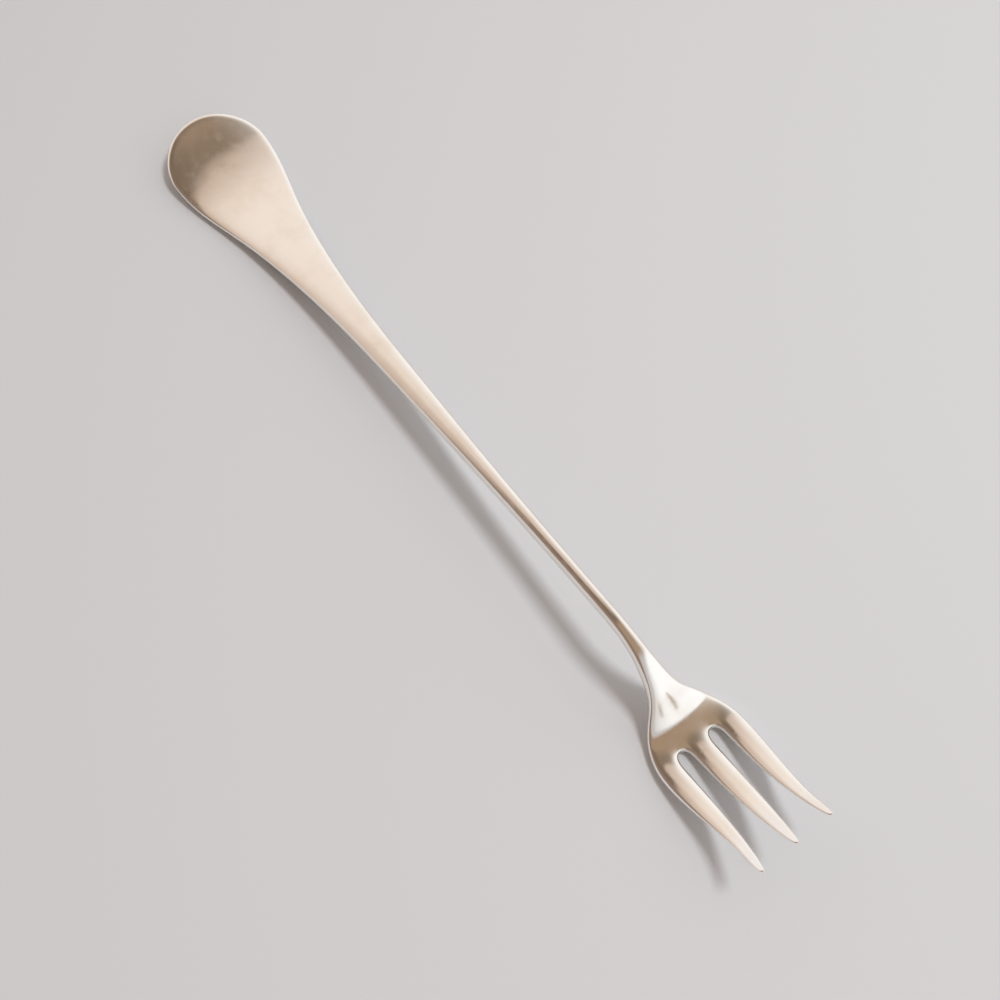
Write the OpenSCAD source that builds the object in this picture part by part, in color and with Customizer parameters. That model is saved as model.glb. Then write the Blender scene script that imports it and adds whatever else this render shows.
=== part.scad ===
// Oyster fork: three short tines, a slim arched stem and a flat rounded handle,
// forged in one piece from a bar of silver.
// It lies face up on a table. The points of the tines are at +X, the rounded end of
// the handle is at -X, +Z is up, and the origin is on the table under mid length.
// The zones of the forging are solids of their own, which meet face to face.

/* [Handle] */
// Length of the flat handle, from its rounded end to the stem
handle_l = 43; // [40:0.5:46]
// Length of the rounded end, up to the widest place
handle_end_l = 7.8; // [7:0.1:10]
// Width at the widest place
handle_w = 16.8; // [15:0.1:19]
// Distance from the end to the shoulder, where the handle narrows fastest
shoulder_at = 23; // [21:0.5:26]
// Width at the shoulder
shoulder_w = 10.9; // [10:0.1:12.5]
// Thickness of the flat handle
handle_t = 1.8; // [1.5:0.05:2.2]
// Width of the rounding along the rim of the handle
handle_round = 0.55; // [0.4:0.05:0.8]
// Distance from the end to where the handle touches the table
handle_rest_at = 14.5; // [12.5:0.5:17]
// Height by which the end of the handle turns up
turn_up_h = 3.1; // [1.5:0.1:4.5]
// Length of the bend from where the handle touches the table to its straight run
handle_bend_l = 12.5; // [10:0.5:15]

/* [Stem] */
// Length of the stem, from the handle to the top of the arch
stem_l = 62.5; // [55:0.5:70]
// Width where the handle runs into the stem
stem_w = 5.3; // [4.5:0.1:6.5]
// Thickness where the handle runs into the stem
stem_t = 2.1; // [1.8:0.05:2.5]
// Distance from the start of the stem to its middle section
stem_mid_at = 26; // [20:0.5:32]
// Width at the middle section
stem_mid_w = 3.08; // [2.8:0.05:3.6]
// Width of the rounding along the stem
stem_round = 1.1; // [0.8:0.05:1.3]
// Height of the middle of the stem at the top of the arch
arch_h = 9.05; // [7:0.05:11]
// Length of the bend that ends at the top of the arch
arch_bend_l = 9.5; // [7:0.5:14]

/* [Neck] */
// Length of the neck, from the top of the arch to the palm
neck_l = 11.5; // [10:0.5:13]
// Width at the top of the arch, the narrowest place
neck_w = 1.98; // [1.9:0.02:2.4]
// Thickness at the top of the arch
neck_t = 2.3; // [2:0.05:2.6]
// Width of the rounding at the top of the arch
neck_round = 0.8; // [0.6:0.05:0.9]
// Distance from the top of the arch to where the neck starts to flare
flare_at = 7.5; // [7:0.1:8.5]
// Width where the neck starts to flare
flare_w = 3; // [2.8:0.05:3.4]

/* [Palm] */
// Length of the palm, from the neck to the roots of the slots
palm_l = 5.5; // [5:0.1:6.5]
// Width where the neck runs into the palm
palm_w = 6.6; // [6.2:0.02:7.2]
// Height of the middle of the metal where the neck runs into the palm
palm_h = 3.45; // [3:0.05:4]
// Thickness of the palm
palm_t = 1.8; // [1.5:0.05:2.1]
// Width of the rounding along the palm, the slots and the tines
palm_round = 0.55; // [0.4:0.05:0.7]
// Distance from the slot roots back to where the palm touches the table
palm_rest_back = 0.9; // [0.6:0.1:1.4]

/* [Tines] */
// Length of the tines, from the roots of the slots to the points
tine_l = 16.5; // [14:0.5:19]
// Width over the outer tines at the widest place
head_w = 13.2; // [12.6:0.1:14.4]
// Distance from the slot roots to the widest place
head_widest_at = 1.8; // [1.2:0.1:2.6]
// Width of a slot at its root
slot_w = 1.86; // [1.5:0.02:2]
// Distance between the middles of the two slots
slot_pitch = 4.96; // [4.8:0.02:5.2]
// Distance between the points of the outer tines
point_spread = 10.4; // [9.8:0.1:11]
// Distance back from the points to where the outer tines are slimmed
toe_back = 3.5; // [3:0.1:4.5]
// Width over the outer tines at that place
toe_w = 11.1; // [10.8:0.1:11.5]
// Radius of a point, seen from above
point_r = 0.2; // [0.16:0.02:0.3]
// Thickness at a point
point_t = 0.5; // [0.35:0.05:0.7]
// Height of the middle of a point above the table
point_h = 8.05; // [6:0.05:10]

/* [Hidden] */

// Depth of the two flats that use has worn on the underside
wear = 0.05;
// Slopes of the half width and of the side view where named sections meet
shoulder_slope = -0.215;
stem_slope = -0.083;
stem_mid_slope = -0.033;
flare_slope = 0.2;
palm_slope = 1;
toe_slope = -0.06;
inner_point_slope = 0.24;
middle_point_slope = -0.15;
neck_fall = -1.15;
point_rise = 0.66;
// Share of the straight slope that the bend at the handle rises by
handle_bend_share = 0.75;
// Largest share of a half width that its rounding takes
round_share = 0.8;
// Share of the thickness that stays upright at an edge, between its two roundings
land_share = 0.25;
// Numbers of steps across the fork: in a rounding, on a flat and over the palm
round_steps = 5;
flat_steps = 2;
palm_side_steps = 11;
palm_middle_steps = 14;
// Numbers of steps along the fork
end_steps = 16;
widest_steps = 5;
handle_steps = 15;
stem_steps = 22;
neck_steps = 14;
palm_steps = 8;
rim_steps = 4;
root_steps = 6;
tine_steps = 16;
point_steps = 4;
// Colour of old polished silver
silver = [0.87, 0.83, 0.77];

// Places along the fork
x_end = -(handle_l + stem_l + neck_l + palm_l + tine_l) / 2;
x_widest = x_end + handle_end_l;
x_handle_rest = x_end + handle_rest_at;
x_shoulder = x_end + shoulder_at;
x_stem = x_end + handle_l;
x_stem_mid = x_stem + stem_mid_at;
x_neck = x_stem + stem_l;
x_flare = x_neck + flare_at;
x_palm = x_neck + neck_l;
x_root = x_palm + palm_l;
x_palm_rest = x_root - palm_rest_back;
x_slot = x_root + slot_w / 2;
x_head_widest = x_root + head_widest_at;
x_tip = x_root + tine_l;
x_toe = x_tip - toe_back;
x_point = x_tip - point_r;

// Slope of the straight run from the handle up to the arch
z_handle = handle_t / 2 - wear;
x_run = x_handle_rest + handle_bend_l;
x_run_end = x_neck - arch_bend_l;
run_l = handle_bend_share * handle_bend_l + x_run_end - x_run + arch_bend_l / 2;
run_slope = (arch_h - z_handle) / run_l;
z_run = z_handle + run_slope * handle_bend_share * handle_bend_l;

// Stations along the fork: place, value and slope
middle_line = [
    [x_end, z_handle + turn_up_h, -2 * turn_up_h / handle_rest_at],
    [x_handle_rest, z_handle, 0],
    [x_run, z_run, run_slope],
    [x_run_end, arch_h - run_slope * arch_bend_l / 2, run_slope],
    [x_neck, arch_h, 0],
    [x_palm, palm_h, neck_fall],
    [x_palm_rest, palm_t / 2 - wear, 0],
    [x_tip, point_h, point_rise]
];
outer_edge = [
    [x_widest, handle_w / 2, 0],
    [x_shoulder, shoulder_w / 2, shoulder_slope],
    [x_stem, stem_w / 2, stem_slope],
    [x_stem_mid, stem_mid_w / 2, stem_mid_slope],
    [x_neck, neck_w / 2, 0],
    [x_flare, flare_w / 2, flare_slope],
    [x_palm, palm_w / 2, palm_slope],
    [x_head_widest, head_w / 2, 0],
    [x_toe, toe_w / 2, toe_slope],
    [x_point, point_spread / 2 + point_r, toe_slope]
];
inner_edge = [
    [x_slot, slot_pitch / 2 + slot_w / 2, 0],
    [x_point, point_spread / 2 - point_r, inner_point_slope]
];
middle_edge = [
    [x_slot, slot_pitch / 2 - slot_w / 2, 0],
    [x_point, point_r, middle_point_slope]
];
half_thickness = [
    [x_end, handle_t / 2, 0],
    [x_shoulder, handle_t / 2, 0],
    [x_stem, stem_t / 2, 0],
    [x_neck, neck_t / 2, 0],
    [x_palm_rest, palm_t / 2, 0],
    [x_tip, point_t / 2, 0]
];
rounding = [
    [x_end, handle_round, 0],
    [x_shoulder, handle_round, 0],
    [x_stem, stem_round, 0],
    [x_neck, neck_round, 0],
    [x_palm, palm_round, 0],
    [x_tip, palm_round, 0]
];

// A cubic curve from station a to station b, and its slope
function cubic(x, a, b) =
    let (span = b[0] - a[0], t = (x - a[0]) / span, u = 1 - t)
    a[1] * u * u * (1 + 2 * t) + b[1] * t * t * (1 + 2 * u)
    + span * t * u * (a[2] * u - b[2] * t);
function cubic_slope(x, a, b) =
    let (span = b[0] - a[0], t = (x - a[0]) / span, u = 1 - t)
    6 * t * u * (b[1] - a[1]) / span + a[2] * u * (1 - 3 * t) + b[2] * t * (1 - 3 * u);
function span_at(x, line, i = 0) =
    i >= len(line) - 2 || x <= line[i + 1][0] ? i : span_at(x, line, i + 1);
function along(x, line) = let (i = span_at(x, line)) cubic(x, line[i], line[i + 1]);
function slope_of(x, line) = let (i = span_at(x, line)) cubic_slope(x, line[i], line[i + 1]);

// Half of a circle's width, as a share of its radius, at a share of the way to its edge
function arc_share(share) = sqrt(max(0, 1 - share * share));
function steps(from, to, count) = [for (i = [0 : count]) from + (to - from) * i / count];
function slant(slope) = sqrt(1 + slope * slope);

// Half the height of a section at a place that lies gap in from its edge
function rounded(x, gap, round, reach = 1) =
    let (arc = arc_share(1 - min(1, max(0, gap / round))))
    reach * along(x, half_thickness) * slant(slope_of(x, middle_line))
    * (land_share + (1 - land_share) * arc);

// A closed ring across the fork: over the top and back along the underside, which the
// table has worn flat. Each entry of across is a place and its gap from the edge.
function ring(x, across, round, reach = 1) =
    let (z = along(x, middle_line), last = len(across) - 1)
    concat(
        [for (p = across) [x, p[0], z + rounded(x, p[1], round, reach)]],
        [for (i = [last : -1 : 0])
            [x, across[i][0], max(0, z - rounded(x, across[i][1], round, reach))]]
    );

// Places across a section from its high edge to its low edge, close together on the
// roundings, which are high_w and low_w wide
function places(high, low, high_w, low_w, flats) =
    concat(
        [for (i = [0 : round_steps - 1]) high - high_w * (1 - cos(90 * i / round_steps))],
        flats,
        [for (i = [round_steps - 1 : -1 : 0]) low + low_w * (1 - cos(90 * i / round_steps))]
    );

// Handle, stem and neck
function half_width(x) =
    x < x_widest
        ? handle_w / 2 * arc_share((x_widest - x) / handle_end_l)
        : along(x, outer_edge);
function edge_slope(x) =
    let (share = (x_widest - x) / handle_end_l)
    x < x_widest
        ? handle_w / 2 / handle_end_l * share / arc_share(share)
        : slope_of(x, outer_edge);
function end_gap(x, y) =
    let (
        a = (x_widest - x) / handle_end_l,
        b = y / (handle_w / 2),
        reach = max(norm([a, b]), 1 - round_share)
    )
    (1 - reach) * reach / norm([a / handle_end_l, b / (handle_w / 2)]);
function side_gap(x, y) =
    x < x_widest ? end_gap(x, y) : (half_width(x) - abs(y)) / slant(edge_slope(x));
function round_at(x) = min(along(x, rounding), round_share * half_width(max(x, x_widest)));
function bar_ring(x) =
    let (
        edge = half_width(x),
        wide = min(round_at(x) * slant(edge_slope(x)), round_share * edge),
        across = places(edge, -edge, wide, wide, steps(edge - wide, wide - edge, flat_steps))
    )
    ring(x, [for (y = across) [y, side_gap(x, y)]], round_at(x));

// Palm, where the rounding also runs round the roots of the slots
function slot_gap(x, y) = norm([x - x_slot, abs(y) - slot_pitch / 2]) - slot_w / 2;
function palm_ring(x) =
    let (
        edge = half_width(x),
        wide = round_at(x) * slant(edge_slope(x)),
        slot_y = slot_pitch / 2 * edge / half_width(x_root),
        between = steps(slot_y, -slot_y, palm_middle_steps),
        flats = concat(
            steps(edge - wide, slot_y, palm_side_steps),
            [for (i = [1 : palm_middle_steps - 1]) between[i]],
            steps(-slot_y, wide - edge, palm_side_steps)
        ),
        across = places(edge, -edge, wide, wide, flats)
    )
    ring(x, [for (y = across) [y, min(side_gap(x, y), slot_gap(x, y))]], round_at(x));

// Tines. Beside a slot an edge starts as the arc of the slot's root, and every edge
// ends as the arc of the point. side is 1 on an edge that faces away from mid width.
function root_share(x) = arc_share((x_slot - x) / (slot_w / 2));
function slot_edge(x, line, side) =
    x < x_slot ? slot_pitch / 2 + side * slot_w / 2 * root_share(x) : along(x, line);
function point_share(x) = x < x_point ? 1 : arc_share((x - x_point) / point_r);
function pointed(x, edge, point_y, side) =
    x < x_point ? edge : point_y + side * point_r * point_share(x);
function edge_slant(x, line) = slant(slope_of(min(x, x_point), line));
function slot_side_gap(x, y, line, edge) =
    x < x_slot ? slot_gap(x, y) : abs(edge - y) / edge_slant(x, line);
function slot_round_w(x, line, round) =
    x < x_slot
        ? sqrt(pow(slot_w / 2 + round, 2) - pow(x_slot - x, 2)) - slot_w / 2 * root_share(x)
        : round * edge_slant(x, line);

function outer_tine_ring(x) =
    let (
        high = pointed(x, along(x, outer_edge), point_spread / 2, 1),
        low = pointed(x, slot_edge(x, inner_edge, 1), point_spread / 2, -1),
        half = (high - low) / 2,
        round = min(palm_round, round_share * half),
        high_w = min(round * edge_slant(x, outer_edge), half),
        low_w = min(slot_round_w(x, inner_edge, round), half),
        across = places(high, low, high_w, low_w, steps(high - high_w, low + low_w, flat_steps)),
        gaps = [for (y = across)
            min((high - y) / edge_slant(x, outer_edge), slot_side_gap(x, y, inner_edge, low))]
    )
    ring(x, [for (i = [0 : len(gaps) - 1]) [across[i], gaps[i]]], round, point_share(x));
function middle_tine_ring(x) =
    let (
        half = pointed(x, slot_edge(x, middle_edge, -1), 0, 1),
        round = min(palm_round, round_share * half),
        wide = min(slot_round_w(x, middle_edge, round), round_share * half),
        across = places(half, -half, wide, wide, steps(half - wide, wide - half, flat_steps)),
        gaps = [for (y = across) slot_side_gap(x, abs(y), middle_edge, half)]
    )
    ring(x, [for (i = [0 : len(gaps) - 1]) [across[i], gaps[i]]], round, point_share(x));

// A solid through rings of equal length, which runs on to a nose at either end if one
// is given. Else it ends flat, closed by a strip from its top edge to its underside.
module loft(rings, start_nose = [], end_nose = []) {
    count = len(rings[0]);
    last = len(rings) - 1;
    points = concat([for (r = rings) each r], start_nose, end_nose);
    sides = [for (i = [0 : last - 1], j = [0 : count - 1])
        let (a = i * count + j, b = i * count + (j + 1) % count)
        each [[a, a + count, b + count], [a, b + count, b]]];
    start_cap = len(start_nose) == 0
        ? [for (j = [0 : count / 2 - 2])
            each [[j, j + 1, count - 2 - j], [j, count - 2 - j, count - 1 - j]]]
        : [for (j = [0 : count - 1]) [len(rings) * count, j, (j + 1) % count]];
    a = last * count;
    end_cap = len(end_nose) == 0
        ? [for (j = [0 : count / 2 - 2])
            each [[a + j + 1, a + j, a + count - 2 - j],
                [a + count - 2 - j, a + j, a + count - 1 - j]]]
        : [for (j = [0 : count - 1]) [len(points) - 1, a + (j + 1) % count, a + j]];
    polyhedron(points = points, faces = concat(sides, start_cap, end_cap));
}

module handle() {
    end = [for (i = [1 : end_steps]) x_widest - handle_end_l * cos(90 * i / end_steps)];
    widest = [for (i = [1 : widest_steps])
        x_widest + (x_handle_rest - x_widest) * i / widest_steps];
    taper = [for (i = [1 : handle_steps])
        x_handle_rest + (x_stem - x_handle_rest) * i / handle_steps];
    color(silver)
        loft(
            [for (x = concat(end, widest, taper)) bar_ring(x)],
            start_nose = [[x_end, 0, along(x_end, middle_line)]]
        );
}

module stem() {
    color(silver)
        loft([for (x = steps(x_stem, x_neck, stem_steps)) bar_ring(x)]);
}

module neck() {
    color(silver)
        loft([for (x = steps(x_neck, x_palm, neck_steps)) bar_ring(x)]);
}

module palm() {
    x_rim = x_root - palm_round;
    flare = steps(x_palm, x_rim, palm_steps);
    rim = [for (i = [1 : rim_steps]) x_rim + palm_round * sin(90 * i / rim_steps)];
    color(silver)
        loft([for (x = concat(flare, rim)) palm_ring(x)]);
}

function tine_places() =
    concat(
        [for (i = [0 : root_steps - 1]) x_slot - slot_w / 2 * cos(90 * i / root_steps)],
        steps(x_slot, x_point, tine_steps),
        [for (i = [1 : point_steps - 1]) x_point + point_r * sin(90 * i / point_steps)]
    );
function point_at(y) = [x_tip, y, along(x_tip, middle_line)];

module outer_tine() {
    color(silver)
        loft(
            [for (x = tine_places()) outer_tine_ring(x)],
            end_nose = [point_at(point_spread / 2)]
        );
}

module tine_left() {
    outer_tine();
}

module tine_middle() {
    color(silver)
        loft([for (x = tine_places()) middle_tine_ring(x)], end_nose = [point_at(0)]);
}

module tine_right() {
    mirror([0, 1, 0]) outer_tine();
}

handle();
stem();
neck();
palm();
tine_left();
tine_middle();
tine_right();
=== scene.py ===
import math

import bmesh
import bpy
from mathutils import Matrix, Vector


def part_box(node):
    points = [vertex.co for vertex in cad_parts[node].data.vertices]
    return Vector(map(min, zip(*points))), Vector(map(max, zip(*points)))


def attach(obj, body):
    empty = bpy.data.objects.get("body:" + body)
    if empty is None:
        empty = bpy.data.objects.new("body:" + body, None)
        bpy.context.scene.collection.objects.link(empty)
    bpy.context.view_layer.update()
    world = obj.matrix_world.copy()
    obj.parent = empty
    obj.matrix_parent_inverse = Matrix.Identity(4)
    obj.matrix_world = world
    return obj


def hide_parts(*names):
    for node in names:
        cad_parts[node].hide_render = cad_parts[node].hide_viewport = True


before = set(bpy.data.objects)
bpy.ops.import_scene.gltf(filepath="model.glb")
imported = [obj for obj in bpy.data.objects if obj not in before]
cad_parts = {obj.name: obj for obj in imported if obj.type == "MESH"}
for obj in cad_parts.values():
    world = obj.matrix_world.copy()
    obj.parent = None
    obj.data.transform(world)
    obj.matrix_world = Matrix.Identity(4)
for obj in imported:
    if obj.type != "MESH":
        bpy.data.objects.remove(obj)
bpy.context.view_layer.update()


# Camera. It stands above the head of the fork and looks down along the stem, so the
# tines are near and the handle runs away to the far corner.
camera_place = Vector((0.0665, -0.0321, 0.1445))
camera_heading = math.radians(59.35)
camera_tilt = math.radians(23.83)
camera_roll = math.radians(-6.55)
camera_lens = 41.4
film_w = 36
nearest_seen = 0.01
camera_data = bpy.data.cameras.new("camera")
camera_data.lens = camera_lens
camera_data.sensor_width = film_w
camera_data.clip_start = nearest_seen
camera = bpy.data.objects.new("camera", camera_data)
camera.matrix_world = (
    Matrix.Translation(camera_place)
    @ Matrix.Rotation(camera_heading, 4, "Z")
    @ Matrix.Rotation(camera_tilt, 4, "X")
    @ Matrix.Rotation(camera_roll, 4, "Z")
)
bpy.context.collection.objects.link(camera)
bpy.context.scene.camera = camera


# Plan of the fork. The real one is a single forging, so its skin is one mesh from the
# rounded end of the handle to the three points. It starts as a flat grid, which gets
# two slots and takes the outline of the metal inside its rounded rim.
MM = 0.001
x_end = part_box("handle")[0].x
x_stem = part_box("stem")[0].x
x_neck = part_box("neck")[0].x
x_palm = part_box("palm")[0].x
x_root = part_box("tine_middle")[0].x
x_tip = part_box("tine_middle")[1].x
handle_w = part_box("handle")[1].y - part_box("handle")[0].y
head_w = 2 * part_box("tine_left")[1].y

handle_end_l = 7.8 * MM
shoulder_at = 23 * MM
shoulder_w = 10.9 * MM
shoulder_slope = -0.215
stem_w = 5.3 * MM
stem_slope = -0.083
stem_mid_at = 26 * MM
stem_mid_w = 3.08 * MM
stem_mid_slope = -0.033
neck_w = 1.98 * MM
flare_at = 7.5 * MM
flare_w = 3 * MM
flare_slope = 0.2
palm_w = 6.6 * MM
palm_slope = 1
head_widest_at = 1.8 * MM
slot_w = 1.86 * MM
slot_pitch = 4.96 * MM
toe_back = 3.5 * MM
toe_w = 11.1 * MM
toe_slope = -0.06
point_spread = 10.4 * MM
point_r = 0.46 * MM
point_l = 0.3 * MM
inner_slope = 0.24
middle_slope = -0.15
handle_round = 0.95 * MM
rim_round = 0.65 * MM
root_round = 0.85 * MM
round_share = 0.55
round_blend = 4

x_widest = x_end + handle_end_l
x_shoulder = x_end + shoulder_at
x_slot = x_root + slot_w / 2
x_point = x_tip - point_l

# Each line is a smooth curve through stations: place, value and slope
outer_line = [
    (x_widest, handle_w / 2, 0),
    (x_shoulder, shoulder_w / 2, shoulder_slope),
    (x_stem, stem_w / 2, stem_slope),
    (x_stem + stem_mid_at, stem_mid_w / 2, stem_mid_slope),
    (x_neck, neck_w / 2, 0),
    (x_neck + flare_at, flare_w / 2, flare_slope),
    (x_palm, palm_w / 2, palm_slope),
    (x_root + head_widest_at, head_w / 2, 0),
    (x_tip - toe_back, toe_w / 2, toe_slope),
    (x_point, point_spread / 2 + point_r, toe_slope),
]
inner_line = [
    (x_slot, slot_pitch / 2 + slot_w / 2, 0),
    (x_point, point_spread / 2 - point_r, inner_slope),
]
middle_line = [
    (x_slot, slot_pitch / 2 - slot_w / 2, 0),
    (x_point, point_r, middle_slope),
]


def along(x, line):
    """Value of a line at x."""
    i = max(k for k in range(len(line) - 1) if k == 0 or x > line[k][0])
    (xa, a, slope_a), (xb, b, slope_b) = line[i], line[i + 1]
    span = xb - xa
    t = (x - xa) / span
    u = 1 - t
    bend = span * t * u * (slope_a * u - slope_b * t)
    return a * u * u * (1 + 2 * t) + b * t * t * (1 + 2 * u) + bend


def slant(x, line):
    """Length of a line for each unit of x."""
    step = 0.01 * MM
    return math.hypot(1, (along(x + step, line) - along(x - step, line)) / (2 * step))


rim_line = [(x_end, handle_round, 0), (x_stem, rim_round, 0), (x_tip, rim_round, 0)]


def rim_on(half_w, x):
    """Width of the rounded rim on a bar of that half width, less where it is slim."""
    full, slim = along(x, rim_line), round_share * half_w
    return (full**-round_blend + slim**-round_blend) ** (-1 / round_blend)


# Numbers of grid rows: round the end, then between places along the fork
end_rows = 5
row_spans = [
    (x_widest, x_stem, 12),
    (x_stem, x_neck, 20),
    (x_neck, x_palm, 11),
    (x_palm, x_root - root_round, 6),
]
row_x = []
for start, stop, count in row_spans:
    row_x += [start + (stop - start) * k / count for k in range(count)]
root_row = end_rows + len(row_x)
tine_rows = 11
rows = root_row + tine_rows
# Columns from mid width to one side, and those that a slot lies between
side_columns = 5
slot_from = 1
slot_to = 3
# Half the angle that the inner rows of the rounded end fan out to
end_corner = math.radians(47)


def end_place(row, share):
    """A grid point on the rounded end, where the outermost row bends round."""
    flat_l = handle_end_l - handle_round
    flat_w = handle_w / 2 - handle_round
    to_side = row / end_rows
    rest = 1 - to_side
    side = end_corner + (math.pi / 2 - end_corner) * to_side
    row_angle = end_corner * share
    x = -rest * flat_l * math.cos(row_angle)
    x += flat_l * (rest * math.cos(end_corner) - math.cos(side))
    y = rest * flat_w * math.sin(row_angle) + to_side * flat_w * share
    y += share * flat_w * (math.sin(side) - rest * math.sin(end_corner) - to_side)
    return x_widest + x, y


def bar_place(x, column):
    """A grid point on the handle, the stem, the neck or the palm."""
    half_w = along(x, outer_line)
    flat_w = half_w - rim_on(half_w, x) * slant(x, outer_line)
    return x, flat_w * column / side_columns


def tine_place(row, column):
    """A grid point on a tine. The first row bends round the roots of the slots."""
    reach = slot_w / 2 + root_round
    diagonal = reach * math.sqrt(0.5)
    if row == root_row:
        x = x_slot - diagonal
        outer_w = along(x, outer_line)
        outer_flat = outer_w - rim_on(outer_w, x) * slant(x, outer_line)
        inner_flat = slot_pitch / 2 + diagonal
        places = [
            (x, 0),
            (x, slot_pitch / 2 - diagonal),
            (x_slot - reach, slot_pitch / 2),
            (x, inner_flat),
            (x, (inner_flat + outer_flat) / 2),
            (x, outer_flat),
        ]
        return places[column]
    x = x_slot + (x_point - x_slot) * (row - root_row - 1) / (tine_rows - 1)
    middle_w = along(x, middle_line)
    inner, outer = along(x, inner_line), along(x, outer_line)
    rim = rim_on((outer - inner) / 2, x)
    inner_flat = inner + rim * slant(x, inner_line)
    outer_flat = outer - rim * slant(x, outer_line)
    middle_flat = middle_w - rim_on(middle_w, x) * slant(x, middle_line)
    ys = [
        0,
        middle_flat,
        slot_pitch / 2,
        inner_flat,
        (inner_flat + outer_flat) / 2,
        outer_flat,
    ]
    return x, ys[column]


fork_mesh = bmesh.new()
bmesh.ops.create_grid(fork_mesh, x_segments=rows, y_segments=2 * side_columns, size=1)
row_of = {v: round((v.co.x + 1) / 2 * rows) for v in fork_mesh.verts}
column_of = {v: round(v.co.y * side_columns) for v in fork_mesh.verts}
in_slot = {
    v: row_of[v] >= root_row and slot_from <= abs(column_of[v]) <= slot_to
    for v in fork_mesh.verts
}
slots = [f for f in fork_mesh.faces if all(in_slot[v] for v in f.verts)]
bmesh.ops.delete(fork_mesh, geom=slots, context="FACES")
for v in fork_mesh.verts:
    row, column = row_of[v], column_of[v]
    if row < end_rows:
        v.co.x, v.co.y = end_place(row, column / side_columns)
    elif row < root_row:
        v.co.x, v.co.y = bar_place(row_x[row - end_rows], column)
    else:
        x, y = tine_place(row, abs(column))
        v.co.x, v.co.y = x, math.copysign(y, column)


# Section of the fork. Forging and wear have crowned it, the handle's end and the tines
# most. Its rim is rounded over by rows of faces that run outwards all round, along the
# slots too, and the underside mirrors the top.
handle_t = 1.8 * MM
stem_t = 2.1 * MM
neck_t = 2.3 * MM
palm_t = 1.8 * MM
point_t = 0.5 * MM
palm_rest_back = 1.85 * MM
valley = 0.09 * MM
valley_l = 2.6 * MM
x_palm_rest = x_root - palm_rest_back

thickness_line = [
    (x_end, handle_t / 2, 0),
    (x_shoulder, handle_t / 2, 0),
    (x_stem, stem_t / 2, 0),
    (x_neck, neck_t / 2, 0),
    (x_palm_rest, palm_t / 2, 0),
    (x_tip, point_t / 2, 0),
]
# Share of the thickness that the crown loses from mid width to the edge
crown_line = [
    (x_end, 0.55, 0),
    (x_shoulder, 0.4, 0),
    (x_stem, 0.3, 0),
    (x_neck, 0.3, 0),
    (x_palm, 0.15, 0),
    (x_root, 0.1, 0),
    (x_root + head_widest_at, 0.42, 0),
    (x_tip, 0.4, 0),
]
# Depth of the shallow valleys that run from the palm into the slots
valley_line = [
    (x_end, 0, 0),
    (x_root - valley_l, 0, 0),
    (x_root, valley, 0),
    (x_root + valley_l, 0, 0),
    (x_tip, 0, 0),
]
rim_steps = 3
rim_fullness = 0.7


def bar_beside(v):
    """Middle and half width of the bar that a point belongs to."""
    row, column = row_of[v], abs(column_of[v])
    x = v.co.x
    if row < end_rows:
        return 0, handle_w / 2
    if row <= root_row:
        return 0, along(x, outer_line)
    if column < slot_to:
        return 0, along(x, middle_line)
    inner, outer = along(x, inner_line), along(x, outer_line)
    return (inner + outer) / 2, (outer - inner) / 2


def rim_reach(v):
    """How far, and which way in plan, the rounding goes out from a rim point."""
    before, after = [e.other_vert(v) for e in v.link_edges if e.is_boundary]
    run = (v.co - before.co).normalized() + (after.co - v.co).normalized()
    out = Vector((run.y, -run.x, 0)).normalized()
    centres = [f.calc_center_median() for f in v.link_faces]
    if out.dot(v.co - sum(centres, Vector()) / len(centres)) < 0:
        out = -out
    at_root = row_of[v] == root_row and abs(column_of[v]) < side_columns
    rim_w = root_round if at_root else rim_on(bars[v][1], v.co.x)
    reach = Vector((point_l if row_of[v] == rows else rim_w, rim_w, 0))
    return Vector((out.x * reach.x, out.y * reach.y, 0))


bars = {v: bar_beside(v) for v in fork_mesh.verts}
height = {v: 1 for v in fork_mesh.verts}
rim = {v for v in fork_mesh.verts if v.is_boundary}
rim_out = {v: rim_reach(v) for v in rim}
for step in range(1, rim_steps + 1):
    start_angle = math.pi / 2 * (step - 1) / rim_steps
    angle = math.pi / 2 * step / rim_steps
    edges = [e for e in fork_mesh.edges if e.is_boundary]
    made = bmesh.ops.extrude_edge_only(fork_mesh, edges=edges)["geom"]
    new_rim = {v for v in made if isinstance(v, bmesh.types.BMVert)}
    for v in new_rim:
        beside = [e.other_vert(v) for e in v.link_edges]
        source = next(other for other in beside if other in rim)
        bars[v], rim_out[v] = bars[source], rim_out[source]
        v.co = source.co + rim_out[v] * (math.sin(angle) - math.sin(start_angle))
        height[v] = max(0, math.cos(angle)) ** rim_fullness
    rim = new_rim


# Side view: the flat handle turns up at its end, the stem climbs to an arch, the neck
# falls to the palm, and the tines rise to their points. Where the fork rests, under the
# handle and the palm, the table has worn it flat.
wear = 0.05 * MM
handle_rest_at = 14.5 * MM
turn_up_h = 3.05 * MM
turn_up_slope = 0.375
half_turn_at = 7.5 * MM
half_turn_h = 0.83 * MM
half_turn_slope = 0.206
handle_bend_l = 12.5 * MM
handle_bend_share = 0.75
arch_h = 9.05 * MM
arch_at = 0.9 * MM
arch_bend_l = 2.8 * MM
steep_back = 1 * MM
steep_h = 4.02 * MM
steep_slope = 1
rise_back = 0.5 * MM
rise_back_h = 0.01 * MM
rise_back_slope = 0.02
rise_at = 0.45 * MM
rise_h = 0.11 * MM
rise_slope = 0.19
point_h = 8.05 * MM
point_slope = 0.66
# The fall to the palm ends sooner at the sides: by this times the square of the way out
palm_bow = 20
x_rest = x_end + handle_rest_at
x_run = x_rest + handle_bend_l
x_arch = x_neck + arch_at
x_run_end = x_arch - arch_bend_l
z_handle = handle_t / 2 - wear
z_palm = palm_t / 2 - wear
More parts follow.
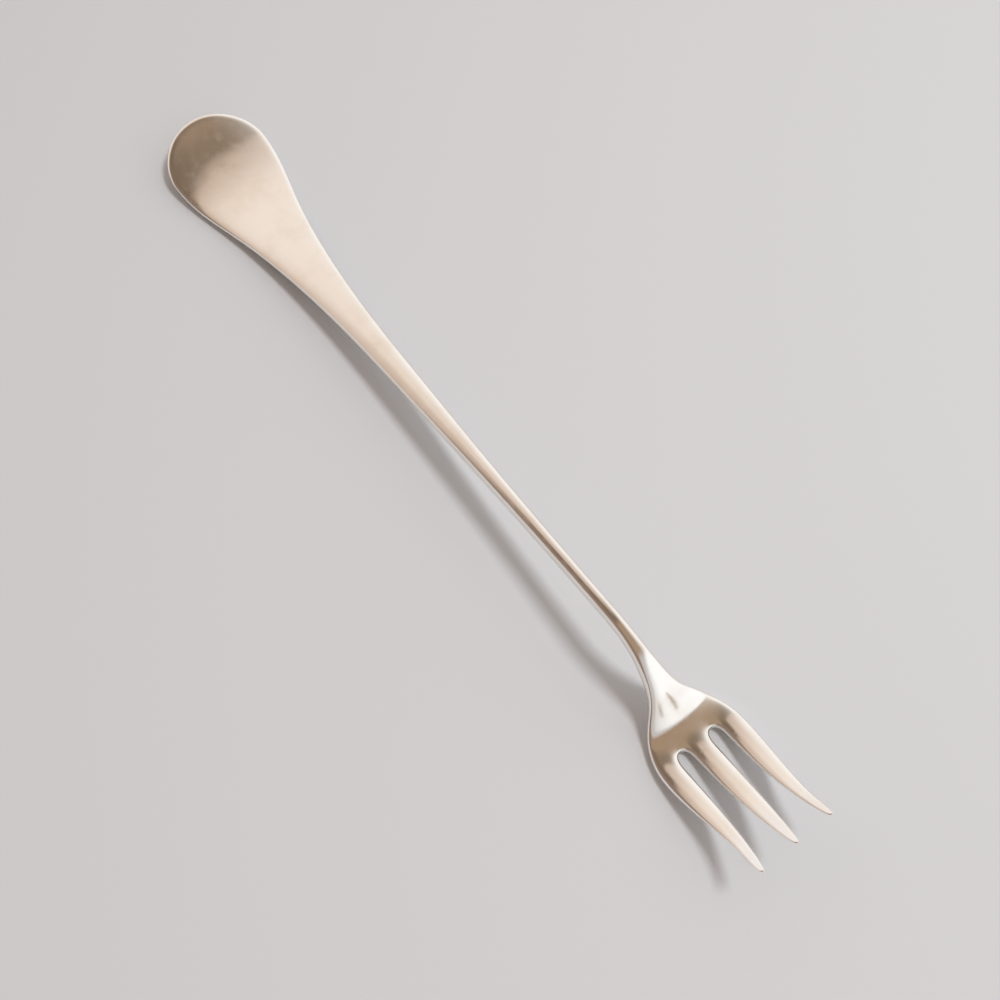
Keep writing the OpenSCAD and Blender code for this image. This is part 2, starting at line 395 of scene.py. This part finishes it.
# The stem climbs straight from the bend at the handle to the bend of the arch
run_l = handle_bend_share * handle_bend_l + x_run_end - x_run + arch_bend_l / 2
run_slope = (arch_h - z_handle) / run_l

side_line = [
    (x_end, z_handle + turn_up_h, -turn_up_slope),
    (x_end + half_turn_at, z_handle + half_turn_h, -half_turn_slope),
    (x_rest, z_handle, 0),
    (x_run, z_handle + run_slope * handle_bend_share * handle_bend_l, run_slope),
    (x_run_end, arch_h - run_slope * arch_bend_l / 2, run_slope),
    (x_arch, arch_h, 0),
    (x_palm - steep_back, steep_h, -steep_slope),
    (x_palm_rest, z_palm, 0),
    (x_root - rise_back, z_palm + rise_back_h, rise_back_slope),
    (x_root + rise_at, z_palm + rise_h, rise_slope),
    (x_tip, point_h, point_slope),
]
for v in fork_mesh.verts:
    x = v.co.x
    middle, half_w = bars[v]
    crown = 1 - along(x, crown_line) * ((abs(v.co.y) - middle) / half_w) ** 2
    wave = math.sin(math.pi * min(abs(v.co.y) / slot_pitch, 1)) ** 2
    half_t = crown * along(x, thickness_line) - wave * along(x, valley_line)
    v.co.z = height[v] * half_t * slant(x, side_line)
top = fork_mesh.verts[:] + fork_mesh.edges[:] + fork_mesh.faces[:]
weld = 0.001 * MM
bmesh.ops.mirror(
    fork_mesh, geom=top, matrix=Matrix.Identity(4), merge_dist=weld, axis="Z"
)
for v in fork_mesh.verts:
    x = v.co.x
    if x_neck < x < x_palm_rest:
        x = min(x + palm_bow * v.co.y**2, x_palm_rest)
    v.co.z = max(v.co.z + along(x, side_line), 0)
bmesh.ops.recalc_face_normals(fork_mesh, faces=fork_mesh.faces)
for f in fork_mesh.faces:
    f.smooth = True
fork_data = bpy.data.meshes.new("fork")
fork_mesh.to_mesh(fork_data)
fork_mesh.free()
fork = bpy.data.objects.new("fork", fork_data)
bpy.context.collection.objects.link(fork)
skin = fork.modifiers.new("skin", "SUBSURF")
skin.levels = 2
skin.render_levels = 2
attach(fork, "root")
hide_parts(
    "handle", "stem", "neck", "palm", "tine_left", "tine_middle", "tine_right"
)


# Silver. The fork is solid silver, polished bright and then dulled by long use: fine
# scratches run three ways, and scuffs and a thin warm tarnish lie on it in patches.
class Socket:
    """A node's output, on which arithmetic adds Math nodes."""

    tree = None

    def __init__(self, link):
        self.link = link

    @classmethod
    def node(cls, kind, settings=None, output=0, **values):
        """Adds a node with its settings and its sockets' values or links.

        A socket goes by its name, with _ for a space, or by _ and its number.
        """
        made = cls.tree.nodes.new(kind)
        for name, value in (settings or {}).items():
            setattr(made, name, value)
        for name, value in values.items():
            usable = [s for s in made.inputs if s.enabled]
            named = [s for s in usable if s.name.replace(" ", "_") == name]
            target = named[0] if named else made.inputs[int(name.strip("_"))]
            if isinstance(value, Socket):
                cls.tree.links.new(value.link, target)
            else:
                target.default_value = value
        return cls(made.outputs[output])

    @classmethod
    def maths(cls, operation, a, b):
        """Adds a Math node."""
        return cls.node("ShaderNodeMath", {"operation": operation}, _0=a, _1=b)

    def __add__(self, other):
        return self.maths("ADD", self, other)

    def __sub__(self, other):
        return self.maths("SUBTRACT", self, other)

    def __rsub__(self, other):
        return self.maths("SUBTRACT", other, self)

    def __mul__(self, other):
        return self.maths("MULTIPLY", self, other)

    __radd__ = __add__
    __rmul__ = __mul__

    def between(self, low, high):
        """0 below low, 1 above high, and smooth in between."""
        return self.node(
            "ShaderNodeMapRange",
            {"interpolation_type": "SMOOTHSTEP"},
            Value=self,
            From_Min=low,
            From_Max=high,
        )

    def mix(self, a, b):
        """Colour a where this is 0 and colour b where it is 1."""
        return self.node(
            "ShaderNodeMix", {"data_type": "RGBA"}, output=2, Factor=self, _6=a, _7=b
        )


def noise(where, scale, detail, roughness=0.5):
    """Cloudy noise, with that many bumps to a metre."""
    return Socket.node(
        "ShaderNodeTexNoise",
        Vector=where,
        Scale=scale,
        Detail=detail,
        Roughness=roughness,
    )


silver = bpy.data.materials.new("silver")
silver.use_nodes = True
Socket.tree = silver.node_tree
surface = silver.node_tree.nodes["Principled BSDF"]
place = Socket.node("ShaderNodeTexCoord", output="Object")

# Scratches are noise drawn out into long streaks
scratch_turns = [8, 67, 121]
scratch_stretch = 0.045
scratch_scale = 7000
scratch_range = (0.6, 0.72)
scratches = 0
for turn in scratch_turns:
    streak = Socket.node(
        "ShaderNodeMapping",
        Vector=place,
        Rotation=(0, 0, math.radians(turn)),
        Scale=(scratch_stretch, 1, 1),
    )
    streaks = noise(streak, scratch_scale, detail=1.0)
    scratches = scratches + streaks.between(*scratch_range)

# Tarnish in wide patches, scuffs in small ones, and pits too fine to see singly
tarnish_scale = 170
tarnish_range = (0.4, 0.75)
scuff_scale = 520
scuff_range = (0.45, 0.7)
pit_scale = 2600
tarnish = noise(place, tarnish_scale, detail=4.0, roughness=0.6).between(*tarnish_range)
scuffs = noise(place, scuff_scale, detail=5.0, roughness=0.65).between(*scuff_range)
pits = noise(place, pit_scale, detail=3.0, roughness=0.6)

silver_bright = (0.955, 0.925, 0.88, 1)
silver_warm = (0.905, 0.855, 0.785, 1)
colour = tarnish.mix(silver_bright, silver_warm)

polished = 0.1
by_tarnish = 0.04
by_scuffs = 0.09
by_scratches = 0.03
roughness = (
    polished + by_tarnish * tarnish + by_scuffs * scuffs + by_scratches * scratches
)

scratch_depth = 0.3
relief_depth = 0.01 * MM
relief_strength = 0.12
bump = Socket.node(
    "ShaderNodeBump",
    Strength=relief_strength,
    Distance=relief_depth,
    Height=pits + scratch_depth * scratches,
)

surface.inputs["Metallic"].default_value = 1
silver.node_tree.links.new(colour.link, surface.inputs["Base Color"])
silver.node_tree.links.new(roughness.link, surface.inputs["Roughness"])
silver.node_tree.links.new(bump.link, surface.inputs["Normal"])
fork_data.materials.append(silver)


# Floor. A plain pale round sheet that the fork lies on, much wider than the fork.
floor_r = 2
floor_sides = 96
floor_pale = (0.63, 0.65, 0.68, 1)
floor_roughness = 0.9
floor_mesh = bmesh.new()
bmesh.ops.create_circle(
    floor_mesh, cap_ends=True, segments=floor_sides, radius=floor_r
)
floor_data = bpy.data.meshes.new("floor")
floor_mesh.to_mesh(floor_data)
floor_mesh.free()
floor = bpy.data.objects.new("floor", floor_data)
bpy.context.collection.objects.link(floor)
floor_paint = bpy.data.materials.new("floor")
floor_paint.use_nodes = True
floor_surface = floor_paint.node_tree.nodes["Principled BSDF"]
floor_surface.inputs["Base Color"].default_value = floor_pale
floor_surface.inputs["Roughness"].default_value = floor_roughness
floor_data.materials.append(floor_paint)


# Light. One soft lamp hangs high to one side of the tines. The silver shows the room: a
# pale wall past the handle, a brown ceiling, and a grey wall and a window past the tines.
lamp_direction = Vector((0.268, 0.428, 1)).normalized()
lamp_away = 0.6
lamp_w = 0.13
lamp_power = 1.7
lamp_data = bpy.data.lights.new("lamp", "AREA")
lamp_data.shape = "DISK"
lamp_data.size = lamp_w
lamp_data.energy = lamp_power
lamp = bpy.data.objects.new("lamp", lamp_data)
lamp.location = lamp_direction * lamp_away
lamp.rotation_mode = "QUATERNION"
lamp.rotation_quaternion = lamp_direction.to_track_quat("Z", "Y")
lamp.visible_glossy = False
bpy.context.collection.objects.link(lamp)

room = bpy.data.worlds.new("room")
room.use_nodes = True
bpy.context.scene.world = room
Socket.tree = room.node_tree
sight = Socket.node("ShaderNodeTexCoord", output="Generated")
sight_x, sight_y, sight_z = [
    Socket.node("ShaderNodeSeparateXYZ", output=axis, Vector=sight) for axis in "XYZ"
]

wall = (0.91, 0.8, 0.715, 1)
wall_dim = (0.61, 0.48, 0.4, 1)
wall_white = (0.93, 0.895, 0.9, 1)
end_wall = (0.57, 0.55, 0.56, 1)
ceiling_dark = (0.2, 0.146, 0.106, 1)
ceiling_brown = (0.255, 0.188, 0.136, 1)
ceiling_light = (0.38, 0.275, 0.19, 1)
ceiling_side = (0.27, 0.2, 0.165, 1)
daylight = (1.06, 1.075, 1.1, 1)
side_light = (1.0, 0.98, 0.96, 1)
low_light = (0.94, 0.86, 0.85, 1)
backdrop = (0.9, 0.9, 0.9, 1)

# Where one tone passes into the next, by the direction looked in: x is 1 straight past
# the tines, y on the lamp's side and z overhead
wall_lift = 0.17
wall_lift_y = (-0.14, 0.15)
wall_dim_x = (-0.92, -0.49)
wall_white_x = (-0.85, -0.72)
ceiling_x = (-0.555, -0.465)
ceiling_brown_y = (-0.1, 0.15)
ceiling_light_x = (-0.2, -0.03)
ceiling_side_y = (-0.7, -0.35)
end_wall_x = (0.62, 0.76)
side_light_y = (0.2, 0.7)
window_lean = 0.5
window_x = (0.8, 0.92)
window_y = (-0.1, 0.18)
low_light_z = (0.02, 0.14)

# The wall past the handle reaches higher on the lamp's side
wall_x = sight_x - wall_lift * sight_y.between(*wall_lift_y)
wall_shade = wall_x.between(*wall_dim_x).mix(wall, wall_dim)
wall_shade = sight_x.between(*wall_white_x).mix(wall_white, wall_shade)
ceiling_shade = sight_y.between(*ceiling_brown_y).mix(ceiling_dark, ceiling_brown)
ceiling_shade = sight_x.between(*ceiling_light_x).mix(ceiling_shade, ceiling_light)
ceiling_shade = sight_y.between(*ceiling_side_y).mix(ceiling_side, ceiling_shade)
sky = wall_x.between(*ceiling_x).mix(wall_shade, ceiling_shade)
sky = sight_x.between(*end_wall_x).mix(sky, end_wall)
sky = sight_y.between(*side_light_y).mix(sky, side_light)
window = (sight_x + window_lean * sight_y).between(*window_x)
window = window * sight_y.between(*window_y)
sky = window.mix(sky, daylight)
sky = sight_z.between(*low_light_z).mix(low_light, sky)
# The camera sees a plain backdrop
seen = Socket.node("ShaderNodeLightPath", output="Is Camera Ray")
sky = seen.mix(sky, backdrop)
background = room.node_tree.nodes["Background"]
room.node_tree.links.new(sky.link, background.inputs["Color"])

bpy.context.scene.view_settings.view_transform = "Standard"
